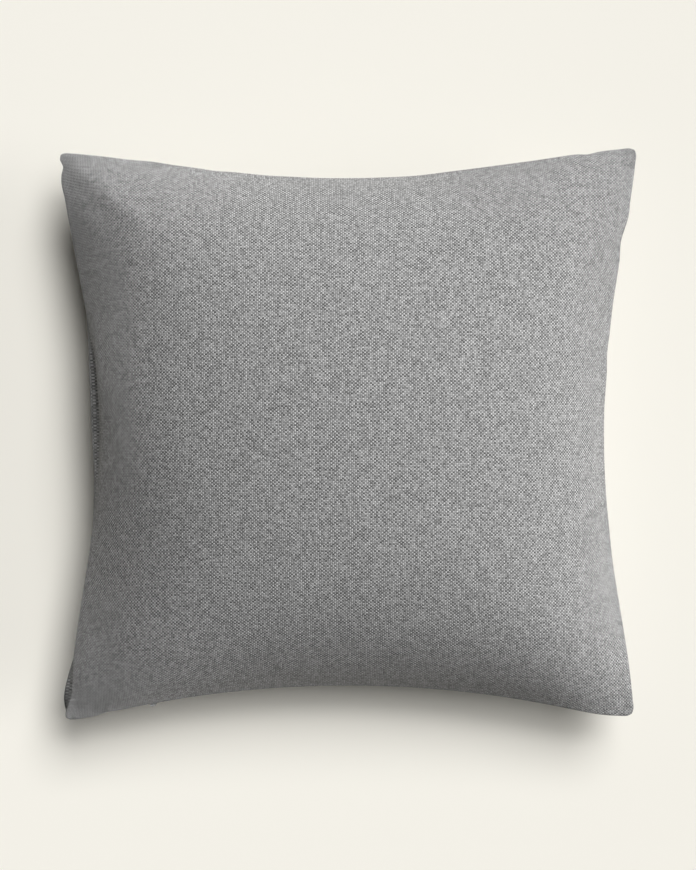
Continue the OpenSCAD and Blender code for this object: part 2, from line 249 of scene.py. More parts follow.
# Rolls of the left seam: middle, spread above and below, inward, lift, back's bulge
LEFT_ROLL = (
    (0.036, 0.060, 0.100, 0.0042, 0.0085, 0.0118, 0.0085),
    (-0.226, 0.030, 0.016, 0.0050, 0.0040, 0.0098, 0.0060),
)
# Small dents of the sewn edge: edge, place along it, spread, depth
DENTS = (
    ("left", 0.2310, 0.0050, 0.0026),
    ("left", 0.2150, 0.0080, -0.0010),
    ("right", 0.1650, 0.0110, 0.0017),
    ("right", 0.1880, 0.0090, -0.0010),
    ("right", 0.0700, 0.0120, 0.0009),
    ("far", 0.2080, 0.0070, 0.0014),
    ("far", -0.1700, 0.0160, -0.0011),
    ("far", -0.1150, 0.0120, 0.0008),
    ("near", -0.2080, 0.0070, 0.0012),
)


def roll_share(y, roll):
    return np.exp(-(((y - roll[0]) / np.where(y > roll[0], roll[1], roll[2])) ** 2))


def seam_points(u, v):
    """Places of seam points, given their places on the edge of the flat square."""
    x, y = plan(u, v)
    angle = np.arctan2(v, u)
    free = 1 - (v < -0.999) * (1 - smooth(ZONE, ZONE + 0.03, np.abs(x)))
    x = x + 0.00060 * wobble(angle, 1) * (np.abs(u) > 0.999)
    y = y + 0.00060 * wobble(angle, 2) * (np.abs(v) > 0.999) * free
    corner = smooth(0.78, 1, np.abs(u)) * smooth(0.78, 1, np.abs(v))
    z = SEAM_Z - CORNER_DROOP * corner + 0.0011 * wobble(angle, 3) * free
    for roll in LEFT_ROLL:
        amount = roll_share(y, roll) * (u < -0.999)
        x = x + roll[3] * amount
        z = z + roll[4] * amount
    for edge, place, spread, depth in DENTS:
        along = y if edge in ("left", "right") else x
        amount = depth * np.exp(-(((along - place) / spread) ** 2))
        x = x + amount * (1.0 * (edge == "left") * (u < -0.999) - (edge == "right") * (u > 0.999))
        y = y + amount * (1.0 * (edge == "near") * (v < -0.999) - (edge == "far") * (v > 0.999))
    return np.stack([x, y, z], -1)


def round_corners(points, u, v, radius=CORNER_ROUND):
    """Turns the four square corners of the seam into small round ears."""
    out = points.copy()
    for name, (su, sv) in {
        "far_left": (-1, 1), "far_right": (1, 1), "near_right": (1, -1), "near_left": (-1, -1),
    }.items():
        cx, cy = CORNERS[name]
        across = (cx - points[..., 0]) * su
        down = (cy - points[..., 1]) * sv
        run = np.maximum(across, down)
        near = (run < radius) & (u * su > 0.7) & (v * sv > 0.7)
        turn = np.pi / 4 * (1 - np.clip(run, 0, radius) / radius)
        far_leg = radius * (1 - np.sin(turn))
        near_leg = radius * (1 - np.cos(turn))
        first = across >= down
        a = np.where(first, far_leg, near_leg + np.clip(across, -0.01, 0.01))
        d = np.where(first, near_leg + np.clip(down, -0.01, 0.01), far_leg)
        out[..., 0] = np.where(near, cx - su * a, out[..., 0])
        out[..., 1] = np.where(near, cy - sv * d, out[..., 1])
    return out


# %% [markdown]
# ## Stuffing the cover with a cloth simulation
# The cover starts as two flat squares sewn together round the edge. Over the
# first frames the seam is drawn in to its final outline, and air pressure
# swells the cloth until it is taut. That gives the real curve of a full
# pillow: flat in the middle, steep at the seams, and nearly flat in the ears.
# The seam ends up about two percent shorter than the cut cloth, so spare cloth
# gathers in small puckers along it, and the next step smooths most of them
# away.

# %% The flat squares
CELLS = 80
CUT = 0.508
FRAMES = 45
DRAWN = 14

steps = np.linspace(-1, 1, CELLS + 1)
U, V = np.meshgrid(steps, steps, indexing="ij")
edge_mask = (np.abs(U) == 1) | (np.abs(V) == 1)
FULL = ((1 - np.abs(U) ** 3) * (1 - np.abs(V) ** 3)) ** 0.8


def drawn_in_grid():
    x, y = plan(U, V)
    grid = np.stack([x, y, np.full_like(x, SEAM_Z)], -1)
    grid[edge_mask] = round_corners(seam_points(U[edge_mask], V[edge_mask]), U[edge_mask], V[edge_mask])
    return grid


# %% Stuff it
def stuff_the_cover():
    target = drawn_in_grid()
    low = (1 - U**2) * (1 - V**2)
    index = np.zeros((2, CELLS + 1, CELLS + 1), int)
    index[0] = np.arange((CELLS + 1) ** 2).reshape(CELLS + 1, CELLS + 1)
    index[1] = index[0]
    inner = ~edge_mask
    index[1][inner] = (CELLS + 1) ** 2 + np.arange(inner.sum())
    flat, cut = [], []
    for side, keep in ((1, np.ones_like(inner)), (-1, inner)):
        start = np.stack([U * CUT / 2, V * CUT / 2, SEAM_Z + side * 0.004 * np.minimum(1, 4 * low)], -1)
        end = target.copy()
        end[..., 2] += side * 0.05 * low
        flat.append(start[keep])
        cut.append(end[keep])
    faces = []
    for i in range(CELLS):
        for j in range(CELLS):
            f, b = index
            faces.append((f[i, j], f[i + 1, j], f[i + 1, j + 1], f[i, j + 1]))
            faces.append((b[i, j], b[i, j + 1], b[i + 1, j + 1], b[i + 1, j]))
    faces = [tuple(int(k) for k in face) for face in faces]
    mesh = bpy.data.meshes.new("stuffing")
    mesh.from_pydata(np.concatenate(flat).tolist(), [], faces)
    cover = bpy.data.objects.new("stuffing", mesh)
    bpy.context.scene.collection.objects.link(cover)
    cover.shape_key_add(name="Basis")
    key = cover.shape_key_add(name="drawn in")
    key.data.foreach_set("co", np.concatenate(cut).astype(np.float32).ravel())
    group = cover.vertex_groups.new(name="seam")
    group.add([int(k) for k in index[0][edge_mask]], 1.0, "REPLACE")
    cloth = cover.modifiers.new("Cloth", "CLOTH")
    s = cloth.settings
    s.quality, s.mass = 6, 0.001
    s.tension_stiffness = s.compression_stiffness = 40
    s.shear_stiffness, s.bending_stiffness = 4, 0.5
    s.tension_damping = s.compression_damping = s.shear_damping = 5
    s.bending_damping, s.air_damping = 0.5, 1
    s.vertex_group_mass, s.pin_stiffness = "seam", 1.0
    s.use_pressure = True
    for at, share in ((1, 0.05), (DRAWN, 0.3), (DRAWN + 8, 1.0)):
        s.uniform_pressure_force = 200 * share
        s.keyframe_insert("uniform_pressure_force", frame=at)
    for at, value in ((1, 0.0), (DRAWN, 1.0)):
        key.value = value
        key.keyframe_insert("value", frame=at)
    cloth.collision_settings.use_collision = False
    cloth.collision_settings.use_self_collision = False
    scene = bpy.context.scene
    scene.frame_start, scene.frame_end = 1, FRAMES
    cloth.point_cache.frame_start, cloth.point_cache.frame_end = 1, FRAMES
    for at in range(1, FRAMES + 1):
        scene.frame_set(at)
    shaped = cover.evaluated_get(bpy.context.evaluated_depsgraph_get()).to_mesh()
    co = np.empty(len(shaped.vertices) * 3, np.float32)
    shaped.vertices.foreach_get("co", co)
    co = co.reshape(-1, 3).astype(float)
    scene.frame_set(1)
    bpy.data.objects.remove(cover)
    bpy.data.meshes.remove(mesh)
    return co[index[0]], co[index[1]]


front_grid, back_grid = stuff_the_cover()
print("front crown", round(front_grid[..., 2].max(), 4), "back low", round(back_grid[..., 2].min(), 4))

# %% [markdown]
# ## Resting, softening and refining the cloth
# The simulation knows nothing of the table, so the underside is flattened
# afterwards: everything that hangs below the surface is eased up onto it.
# The crown is set to one height, and the seam's own level is a choice, since
# neither comes out of the simulation. A few passes of averaging take out
# ripples as small as one cell, and with them most of the edge's puckers. Then each cell is split in four
# with a curve through its neighbours, which keeps the surface fair.

# %% Rest on the table
CROWN_TOP = 0.1734


def rest_on_table(z, ease=0.003):
    lifted = (z + ease) ** 2 / (4 * ease)
    return np.where(z < -ease, 0, np.where(z > ease, z, lifted))


front_grid[..., 2] = SEAM_Z + (front_grid[..., 2] - SEAM_Z) * (
    1 + ((CROWN_TOP - SEAM_Z) / (front_grid[..., 2].max() - SEAM_Z) - 1) * FULL
)
back_grid[..., 2] = rest_on_table(back_grid[..., 2])
print("flat rest patch", round(float((back_grid[..., 2] == 0).mean() * CUT**2), 4), "m2")


# %% Average out the smallest ripples
def soften(grid, passes, strength):
    g = grid.copy()
    for _ in range(passes):
        mean = g.copy()
        mean[1:-1, 1:-1] = (
            g[:-2, 1:-1] + g[2:, 1:-1] + g[1:-1, :-2] + g[1:-1, 2:]
        ) / 4
        g += strength[..., None] * (mean - g)
    return g


rim = np.minimum(1 - np.abs(U), 1 - np.abs(V))
calm = 0.25 + 0.75 * smooth(0.02, 0.16, rim)
PASSES = 22
front_grid = soften(front_grid, PASSES, calm)
back_grid = soften(back_grid, PASSES, calm)
back_grid[..., 2] = np.maximum(back_grid[..., 2], 0)


# %% Split every cell in four
def refine(grid):
    def halve(g):
        padded = np.concatenate([2 * g[:1] - g[1:2], g, 2 * g[-1:] - g[-2:-1]])
        mid = (-padded[:-3] + 9 * padded[1:-2] + 9 * padded[2:-1] - padded[3:]) / 16
        out = np.empty((2 * len(g) - 1,) + g.shape[1:])
        out[::2], out[1::2] = g, mid
        return out

    return halve(halve(grid).swapaxes(0, 1)).swapaxes(0, 1)


fine = np.linspace(-1, 1, 2 * CELLS + 1)
FU, FV = np.meshgrid(fine, fine, indexing="ij")
front_fine, back_fine = refine(front_grid), refine(back_grid)

# %% Folds and rolls that one pillow has and the next one hasn't
# Ridges: from, to, width, height. Dimples: middle, width, depth.
RIDGES = (
    ((-0.238, 0.232), (-0.165, 0.170), 0.0095, 0.0026),
    ((0.222, 0.242), (0.205, 0.222), 0.0040, -0.0016),
)
DIMPLES = (((0.2385, 0.2320), 0.0055, 0.0028), ((0.2300, 0.1600), 0.0120, 0.0014))

rim_fine = np.minimum(1 - np.abs(FU), 1 - np.abs(FV)) * CUT / 2
free_rim = smooth(0.0, 0.006, rim_fine)
for start, stop, width, height in RIDGES:
    start, stop = np.array(start), np.array(stop)
    run = stop - start
    t = ((front_fine[..., :2] - start) @ run) / (run @ run)
    off = np.linalg.norm(front_fine[..., :2] - start - np.clip(t, 0, 1)[..., None] * run, axis=-1)
    fade = smooth(-0.2, 0.25, t) * (1 - smooth(0.5, 1.15, t))
    front_fine[..., 2] += height * np.exp(-((off / width) ** 2)) * fade * free_rim
for middle, width, depth in DIMPLES:
    off = np.linalg.norm(front_fine[..., :2] - np.array(middle), axis=-1)
    front_fine[..., 2] -= depth * np.exp(-((off / width) ** 2)) * free_rim
from_left = (FU + 1) * CUT / 2
off_zip = smooth(0, 0.012, (FV + 1) * CUT / 2)
for roll in LEFT_ROLL:
    reach = from_left / roll[6] * np.exp(1 - from_left / roll[6])
    back_fine[..., 0] -= roll[5] * reach * roll_share(back_fine[..., 1], roll) * off_zip
back_fine[..., 2] = np.maximum(back_fine[..., 2], 0)
print("cells across the fine grid:", len(fine) - 1)

# %% [markdown]
# ## Sewing a panel
# Where a real panel meets the seam, its cloth turns over the stitching and
# runs back inside as a seam allowance. Each panel is therefore one closed
# sheet: the skin, a round fold, the allowance, and the same again a cloth's
# thickness further in. Over the zip the fold lifts away from the seam to
# leave a lip, and the allowance lifts into a channel that the slider runs in.

# %% Walk round the edge of a grid
def ring_of(count):
    n = count - 1
    return np.array(
        [(i, 0) for i in range(n)]
        + [(n, j) for j in range(n)]
        + [(i, n) for i in range(n, 0, -1)]
        + [(0, j) for j in range(n, 0, -1)]
    )


def blur_ring(values, passes):
    for _ in range(passes):
        values = (np.roll(values, 1, 0) + 2 * values + np.roll(values, -1, 0)) / 4
    return values


LIP = 0.0008
CHANNEL = 0.0036
FLAP = 0.012
FOLD = 0.00095
COVER_CLOTH = 0.0009
FOLD_STEPS = 7
SHOULDER_REACH = 0.005
RIM_THINNING = 0.28
# Rows of the wall that leads into the zip's channel: outward, share of the rise
CHANNEL_WALL = ((-0.0014, 0.22), (-0.0016, 0.6), (-0.0018, 0.88), (-0.0023, 1.0))


def zip_share(u, v, x):
    """1 where the seam is open for the zip, easing to 0 past its two ends."""
    return (v < -0.999) * (1 - smooth(ZONE - 0.006, ZONE + 0.006, np.abs(x)))


# %% Build one panel
# Rows outward from the skin: the fold, the channel's wall, then the allowance.
# The whole sheet is then doubled a cloth's thickness further in.
def sew_panel(name, grid, us, vs, side, allowance, cloth, fold, inset=0.0, zipped=False, cut=CUT):
    grid = grid.copy()
    count = len(us)
    ring = ring_of(count)
    ru, rv = us[ring[:, 0]], vs[ring[:, 1]]
    seam = grid[ring[:, 0], ring[:, 1]].copy()
    along = unit((np.roll(seam, -1, 0) - np.roll(seam, 1, 0)) * [1, 1, 0])
    out = blur_ring(np.stack([along[:, 1], -along[:, 0], np.zeros(len(ring))], -1), 2)
    out = unit(out)
    next_in = np.clip(ring, 1, count - 2)
    step = grid[next_in[:, 0], next_in[:, 1]] - seam
    rise = side * step[:, 2]
    run = -(step * out).sum(1)
    slope = blur_ring(np.arctan2(np.maximum(rise, 1e-5), np.maximum(run, 1e-4)), 3)
    slope = np.clip(slope, 0.05, 1.35)
    share = zip_share(ru, rv, seam[:, 0]) if zipped else np.zeros(len(ring))
    lift = share * LIP + 0.00002
    up = np.array([0, 0, side])

    def at(o, z):
        o, z = np.broadcast_to(o, len(ring)), np.broadcast_to(z, len(ring))
        return seam + out * o[:, None] + up * z[:, None]

    start = np.pi / 2 - slope
    arcs = []
    for t in np.linspace(0, 1, FOLD_STEPS):
        turn = start + (-np.pi / 2 - start) * t
        arcs.append(at(-fold + fold * np.cos(turn), lift + fold + fold * np.sin(turn)))
    shoulder = arcs[0] - seam
    deep = np.minimum(1 - np.abs(us)[:, None], 1 - np.abs(vs)[None])
    reach = np.exp(-((deep * cut / 2 / SHOULDER_REACH) ** 2))
    ii, jj = np.meshgrid(np.arange(count), np.arange(count), indexing="ij")
    half = (count - 1) / 2
    order = -np.ones((count, count), int)
    order[ring[:, 0], ring[:, 1]] = np.arange(len(ring))
    di, dj = np.abs(ii - half), np.abs(jj - half)
    pi = np.where(di >= dj, np.where(ii > half, count - 1, 0), ii)
    pj = np.where(di >= dj, jj, np.where(jj > half, count - 1, 0))
    grid += reach[..., None] * shoulder[order[pi, pj]]

    shrink_u = 1 - (allowance + inset) / HALF_X
    shrink_v = 1 - (allowance + inset) / HALF_Y
    ex, ey = plan(ru * shrink_u, rv * shrink_v)
    end = np.stack([ex, ey, seam[:, 2]], -1)
    rows = list(arcs[1:])
    channel = share * (CHANNEL - LIP)
    for o, rise_share in CHANNEL_WALL:
        rows.append(at(-fold + (o + 0.00095), lift + channel * rise_share))
    last = at(-fold - 0.00135, 0)
    for t in (0.2, 0.45, 0.7, 0.9, 1.0):
        row = last + (end - last) * t
        row[:, 2] = seam[:, 2] + side * (lift + channel + 0.0006 * t * (1 - share))
        rows.append(row)

    points = np.concatenate([grid.reshape(-1, 3)] + rows)
    base_index = np.arange(count * count).reshape(count, count)
    faces = grid_quads(base_index)
    previous = base_index[ring[:, 0], ring[:, 1]]
    index = count * count
    for _ in rows:
        current = np.arange(index, index + len(ring))
        faces += strip_faces(current, previous)
        previous = current
        index += len(ring)
    total = len(points)
    tri = np.array([[f[0], f[1], f[2]] for f in faces] + [[f[0], f[2], f[3]] for f in faces])
    normal = np.zeros((total, 3))
    area = np.cross(points[tri[:, 1]] - points[tri[:, 0]], points[tri[:, 2]] - points[tri[:, 0]])
    for k in range(3):
        np.add.at(normal, tri[:, k], area)
    normal = unit(normal) * side
    thick = np.full(total, cloth * 0.5)
    near_rim = smooth(0.002, 0.009, deep * cut / 2)
    thick[: count * count] = (cloth * (RIM_THINNING + 0.72 * near_rim)).ravel()
    thick[count * count : count * count + 10 * len(ring)] = cloth * RIM_THINNING
    inner = points - normal * thick[:, None]
    faces = [f if side > 0 else f[::-1] for f in faces]
    everything = np.concatenate([points, inner])
    all_faces = faces + [tuple(i + total for i in f[::-1]) for f in faces]
    closing = strip_faces(previous, previous + total)
    all_faces += [f if side < 0 else f[::-1] for f in closing]
    flat_grid = np.stack(np.meshgrid(us * cut / 2, vs * cut / 2, indexing="ij"), -1).reshape(-1, 2)
    edge_flat = np.stack([ru, rv], -1) * cut / 2
    flat = [flat_grid]
    for row in rows:
        away = np.linalg.norm(row - seam, axis=1)[:, None]
        flat.append(edge_flat + away * out[:, :2])
    flat = np.concatenate(flat)
    cloth_pos = np.column_stack([flat, np.full(len(flat), 0.5 * side)])
    piece = make_piece(name, everything, all_faces)
    add_vectors(piece, "cloth_pos", np.concatenate([cloth_pos, cloth_pos]))
    print(name, "points", len(everything), "triangles", 2 * len(all_faces))
    return piece, {"seam": seam, "out": out, "end": rows[-1], "share": share}


cover_front, front_rim = sew_panel(
    "cover_front", front_fine, fine, fine, 1, FLAP, COVER_CLOTH, FOLD, zipped=True
)
cover_back, back_rim = sew_panel(
    "cover_back", back_fine, fine, fine, -1, FLAP, COVER_CLOTH, FOLD, zipped=True
)
for piece, node in ((cover_front, "cover_front_panel"), (cover_back, "cover_back_panel")):
    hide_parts(node)
    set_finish(piece, "cover_cloth")

# %% [markdown]
# ## Shader groups
# A material is easier to read when its effects are boxes with names. The
# helper below adds one math node at a time, so that a formula in the text is
# a row of nodes in the editor.


# %% Helpers for shader nodes
class Nodes:
    def __init__(self, tree):
        self.tree = tree

    def add(self, kind, **settings):
        node = self.tree.nodes.new(kind)
        for key, value in settings.items():
            setattr(node, key, value)
        return node

    def link(self, source, target):
        if isinstance(source, (int, float, tuple)):
            target.default_value = source
        else:
            self.tree.links.new(source, target)

    def math(self, operation, a, b=None, clamp=False):
        node = self.add("ShaderNodeMath", operation=operation, use_clamp=clamp)
        for k, value in enumerate((a, b)):
            if value is not None:
                self.link(value, node.inputs[k])
        return node.outputs[0]

    def plus(self, a, b):
        return self.math("ADD", a, b)

    def minus(self, a, b, clamp=False):
        return self.math("SUBTRACT", a, b, clamp=clamp)

    def times(self, a, b):
        return self.math("MULTIPLY", a, b)

    def divide(self, a, b):
        return self.math("DIVIDE", a, b)

    def scaled(self, vector, x, y, z):
        """The three parts of a split vector, each times its own number."""
        return self.vector(*(self.times(p, k) for p, k in zip(vector, (x, y, z))))

    def box(self, tree, **values):
        node = self.add("ShaderNodeGroup", node_tree=tree)
        for title, value in values.items():
            self.link(value, node.inputs[title.replace("_", " ")])
        return node.outputs

    def mix(self, factor, a, b):
        node = self.add("ShaderNodeMix", data_type="FLOAT")
        self.link(factor, node.inputs[0])
        self.link(a, node.inputs[2])
        self.link(b, node.inputs[3])
        return node.outputs[0]

    def colour(self, factor, a, b):
        node = self.add("ShaderNodeMix", data_type="RGBA")
        self.link(factor, node.inputs[0])
        self.link(a, node.inputs[6])
        self.link(b, node.inputs[7])
        return node.outputs[2]

    def noise(self, vector, scale, detail=2.0, rough=0.5):
        node = self.add("ShaderNodeTexNoise")
        self.link(vector, node.inputs["Vector"])
        node.inputs["Scale"].default_value = scale
        node.inputs["Detail"].default_value = detail
        node.inputs["Roughness"].default_value = rough
        return node.outputs["Fac"]

    def vector(self, x, y, z=0.0):
        node = self.add("ShaderNodeCombineXYZ")
        for k, value in enumerate((x, y, z)):
            self.link(value, node.inputs[k])
        return node.outputs[0]

    def split(self, vector):
        node = self.add("ShaderNodeSeparateXYZ")
        self.link(vector, node.inputs[0])
        return node.outputs

    def scatter(self, vector):
        node = self.add("ShaderNodeTexWhiteNoise", noise_dimensions="3D")
        self.link(vector, node.inputs["Vector"])
        return node.outputs["Value"]


def new_group(name, inputs, outputs):
    group = bpy.data.node_groups.new(name, "ShaderNodeTree")
    for title, value in inputs.items():
        kind = "NodeSocketVector" if value is None else "NodeSocketFloat"
        socket = group.interface.new_socket(title, in_out="INPUT", socket_type=kind)
        if value is not None:
            socket.default_value = value
    for title in outputs:
        group.interface.new_socket(title, in_out="OUTPUT", socket_type="NodeSocketFloat")
    nodes = Nodes(group)
    return group, nodes, nodes.add("NodeGroupInput").outputs, nodes.add("NodeGroupOutput").inputs


# %% [markdown]
# ## A plain weave, yarn by yarn
# In a plain weave each yarn goes over one and under the next. The group below
# counts warp and weft yarns from the cloth's own flat position, so the weave
# bends with the cloth. Where the two counts add up to an even number the warp
# is on top, elsewhere the weft. Heather yarns are spun from light and dark
# fibres, so each float gets its own shade, and the shade also drifts along
# the yarn in slubs. The yarns are about a third wider than a real cloth's of
# this kind, so that single ones can be told apart from the camera's height.

# %% The weave group
weave, n, given, give = new_group(
    "plain weave",
    {"Cloth position": None, "Warp pitch": 0.00156, "Weft pitch": 0.00142, "Slub length": 0.012},
    ("Shade", "Warp on top", "Height", "Gap"),
)
px, py, pz = n.split(given["Cloth position"])
wander_x = n.times(n.minus(n.noise(given["Cloth position"], 30, 1), 0.5), 0.0006)
wander_y = n.times(n.minus(n.noise(n.vector(py, px, 3.0), 30, 1), 0.5), 0.0006
)
sx = n.divide(n.plus(px, wander_x), given["Warp pitch"])
sy = n.divide(n.plus(py, wander_y), given["Weft pitch"])
ix, iy = n.math("FLOOR", sx), n.math("FLOOR", sy)
fx = n.minus(n.minus(sx, ix), 0.5)
fy = n.minus(n.minus(sy, iy), 0.5)
over = n.math("FLOORED_MODULO", n.plus(ix, iy), 2.0)
across = n.mix(over, fx, fy)
along = n.mix(over, fy, fx)
belly = n.math("POWER", n.math("MAXIMUM", n.math("COSINE", n.times(across, 3.0)), 0.0), 0.55)
arch = n.math("POWER", n.math("MAXIMUM", n.math("COSINE", n.times(along, 2.5)), 0.0), 0.45)
fibre_x = n.noise(n.vector(n.times(px, 3.0), n.times(py, 0.5), pz), 2400, 2)
fibre_y = n.noise(n.vector(n.times(px, 0.5), n.times(py, 3.0), pz), 2400, 2)
fibres = n.minus(n.mix(over, fibre_x, fibre_y), 0.5)
height = n.plus(n.times(belly, arch), n.times(fibres, 0.35))
warp_slub = n.noise(
    n.vector(n.times(ix, 7.31), n.divide(py, given["Slub length"]), pz), 1.0, 2
)
weft_slub = n.noise(
    n.vector(n.divide(px, given["Slub length"]), n.times(iy, 5.77), n.plus(pz, 9.0)), 1.0, 2
)
slub = n.mix(over, warp_slub, weft_slub)
speck = n.scatter(n.vector(ix, iy, pz))
fleck = n.noise(n.vector(px, py, pz), 620, 2, 0.7)
shade = n.plus(n.times(n.minus(slub, 0.5), 0.38),
               n.times(n.minus(speck, 0.5), 0.42))
shade = n.plus(shade, n.times(n.minus(fleck, 0.5), 0.35))
shade = n.plus(shade, n.times(fibres, 0.5))
n.link(shade, give["Shade"])
n.link(n.minus(1.0, over), give["Warp on top"])
n.link(height, give["Height"])
# Gap is one minus the height, so it is highest between the yarns. The materials darken their colour with
# it, which is painted shade between the yarns.
n.link(n.minus(1.0, height), give["Gap"])
print("weave group has", len(weave.nodes), "nodes")


# %% Start a material
def new_material(name, roughness, **sockets):
    material = bpy.data.materials.new(name)
    material.use_nodes = True
    nodes = Nodes(material.node_tree)
    shader = material.node_tree.nodes["Principled BSDF"]
    shader.inputs["Roughness"].default_value = roughness
    for title, value in sockets.items():
        shader.inputs[title.replace("_", " ")].default_value = value
    return material, nodes, shader


def attribute(nodes, name):
    node = nodes.add("ShaderNodeAttribute", attribute_type="GEOMETRY", attribute_name=name)
    return node.outputs["Vector"]


def paint(nodes, shader, share, dark, light):
    nodes.link(nodes.colour(share, dark, light), shader.inputs["Base Color"])


def bump(nodes, shader, height, distance, strength=1.0):
    node = nodes.add("ShaderNodeBump")
    node.inputs["Distance"].default_value = distance
    node.inputs["Strength"].default_value = strength
    nodes.link(height, node.inputs["Height"])
    nodes.link(node.outputs["Normal"], shader.inputs["Normal"])


# %% [markdown]
# ## The cover's heather cloth
# Grey heather cloth is a mixture of light and dark yarns, matt, with a faint
# fuzz that catches light where the surface turns away. The fuzz is the
# shader's own sheen. The base colour is mixed from a light and a dark grey by
# the weave group's shade, made lighter where the warp is on top, and darkened
# in the gaps between the yarns, which is painted shade.

# %% Cover cloth material
cover_cloth, n, shader = new_material("cover_cloth", 0.88, Sheen_Weight=0.15, Sheen_Roughness=0.5)
shader.inputs["Specular IOR Level"].default_value = 0.2
box = n.box(weave, Cloth_position=attribute(n, "cloth_pos"))
LIGHT, DARK = (0.43, 0.4295, 0.426, 1.0), (0.042, 0.0418, 0.0412, 1.0)
mixing = n.plus(0.5, box["Shade"])
mixing = n.plus(mixing, n.times(n.minus(box["Warp on top"], 0.5), 0.44))
# The low parts of the weave between the yarns are darkened here: painted shade.
mixing = n.minus(mixing, n.times(box["Gap"], 0.40), clamp=True)
paint(n, shader, mixing, DARK, LIGHT)
bump(n, shader, box["Height"], 0.0004, 1.0)
for piece in (cover_front, cover_back):
    piece.data.materials.append(cover_cloth)

# %% [markdown]
# ## The insert under the cover
# Inside the cover is a plain bag of fine cotton with its own seam. It presses
# against the cover, so its shape comes from the cover's: every point of the
# cover a little way in from the rim is lowered by the cloth and the slack,
# and near the insert's own seam the height runs down to nothing.

# %% A layer inside the cover
def sample_grid(grid, u, v):
    count = grid.shape[0] - 1
    a = np.clip((u + 1) / 2 * count, 0, count - 1e-6)
    b = np.clip((v + 1) / 2 * count, 0, count - 1e-6)
    i, j = a.astype(int), b.astype(int)
    fa, fb = (a - i)[..., None], (b - j)[..., None]
    return (
        grid[i, j] * (1 - fa) * (1 - fb)
        + grid[i + 1, j] * fa * (1 - fb)
        + grid[i, j + 1] * (1 - fa) * fb
        + grid[i + 1, j + 1] * fa * fb
    )


def fullness(u, v, power):
    return ((1 - np.abs(u) ** 3) * (1 - np.abs(v) ** 3)) ** power


def inner_layer(grid, u, v, inset, drop, power, side):
    su, sv = u * (1 - inset / HALF_X), v * (1 - inset / HALF_Y)
    over = sample_grid(grid, su, sv)
    seam = SEAM_Z - CORNER_DROOP * smooth(0.78, 1, np.abs(u)) * smooth(0.78, 1, np.abs(v))
    share = np.clip(fullness(u, v, power) / fullness(su, sv, 0.8), 0, 1)
    out = over.copy()
    depth = side * (over[..., 2] - seam) - drop
    out[..., 2] = seam + side * np.maximum(depth, 0.0005) * share
    return out


INSERT_INSET, INSERT_DROP, INSERT_FLAP, INSERT_CLOTH = 0.017, 0.0034, 0.008, 0.0004
front_insert = inner_layer(front_fine, U, V, INSERT_INSET, INSERT_DROP, 0.66, 1)
back_insert = inner_layer(back_fine, U, V, INSERT_INSET, INSERT_DROP, 0.66, -1)
insert_cut = CUT * (1 - INSERT_INSET / HALF_X)
insert_front, insert_front_rim = sew_panel(
    "insert_front", front_insert, steps, steps, 1, INSERT_FLAP, INSERT_CLOTH, 0.00045,
    inset=INSERT_INSET, cut=insert_cut,
)
insert_back, _ = sew_panel(
    "insert_back", back_insert, steps, steps, -1, INSERT_FLAP, INSERT_CLOTH, 0.00045,
    inset=INSERT_INSET, cut=insert_cut,
)
for piece, node in ((insert_front, "insert_front_panel"), (insert_back, "insert_back_panel")):
    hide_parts(node)
    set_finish(piece, "insert_cloth")

# %% [markdown]
# ## The filling
# Polyester fibre packs into soft clumps. The filling is one closed body that
# follows the insert from inside, and seeded noise presses its surface in by
# up to a few millimetres, which gives it lumps without ever touching the
# insert's cloth.

# %% Clumped fibre
FILL_INSET, FILL_DROP = 0.027, 0.0064
fill_steps = np.linspace(-1, 1, 91)
fill_u, fill_v = np.meshgrid(fill_steps, fill_steps, indexing="ij")
fill_edge = (np.abs(fill_u) == 1) | (np.abs(fill_v) == 1)
layers = []
for grid, side in ((front_fine, 1), (back_fine, -1)):
    layer = inner_layer(grid, fill_u, fill_v, FILL_INSET, FILL_DROP, 0.58, side)
    flat_points = layer.reshape(-1, 3)
    clump = np.array(
        [
            0.6 * noise.noise(Vector(p) * 38) + 0.4 * noise.noise(Vector(p) * 95)
            for p in flat_points
        ]
    ).reshape(fill_u.shape)
    pressed = 0.0030 * np.clip(clump + 0.5, 0, 1) * np.minimum(1, 4 * fullness(fill_u, fill_v, 1.0))
    layer[..., 2] -= side * pressed
    layers.append(layer)
layers[1][fill_edge] = layers[0][fill_edge]
count = len(fill_steps)
front_index = np.arange(count * count).reshape(count, count)
back_index = front_index.copy()
back_index[~fill_edge] = count * count + np.arange((~fill_edge).sum())
fill_points = np.concatenate([layers[0].reshape(-1, 3), layers[1][~fill_edge]])
fill_faces = []
for index, flip in ((front_index, False), (back_index, True)):
    fill_faces += [q[::-1] if flip else q for q in grid_quads(index)]
filling = make_piece("filling", fill_points, fill_faces)
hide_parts("fill")
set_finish(filling, "fill_fibre")
print("filling points", len(fill_points))

# %% [markdown]
# ## Threads
# A machine seam is a row of separate stitches, so its thread is a tube that
# swells in the middle of every stitch and dives at the needle holes. The cut
# edges inside are overlocked: one thread winds round the edge again and
# again. Both are tubes swept along the rim's own path.


# %% Even spacing along a path
def resample(path, spacing, closed=False):
    path = np.asarray(path, float)
    if closed:
        path = np.concatenate([path, path[:1]])
    gone = np.concatenate([[0], np.cumsum(np.linalg.norm(np.diff(path, axis=0), axis=1))])
    count = max(int(gone[-1] / spacing), 4)
    at = np.linspace(0, gone[-1], count + 1)
    if closed:
        at = at[:-1]
    return np.stack([np.interp(at, gone, path[:, k]) for k in range(3)], -1), at


def add_thread(name, node, parts, slot):
    points, faces = join_parts(parts)
    piece = make_piece(name, points, faces)
    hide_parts(node)
    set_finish(piece, slot)
    print(name, "triangles", 2 * len(faces))
    return piece


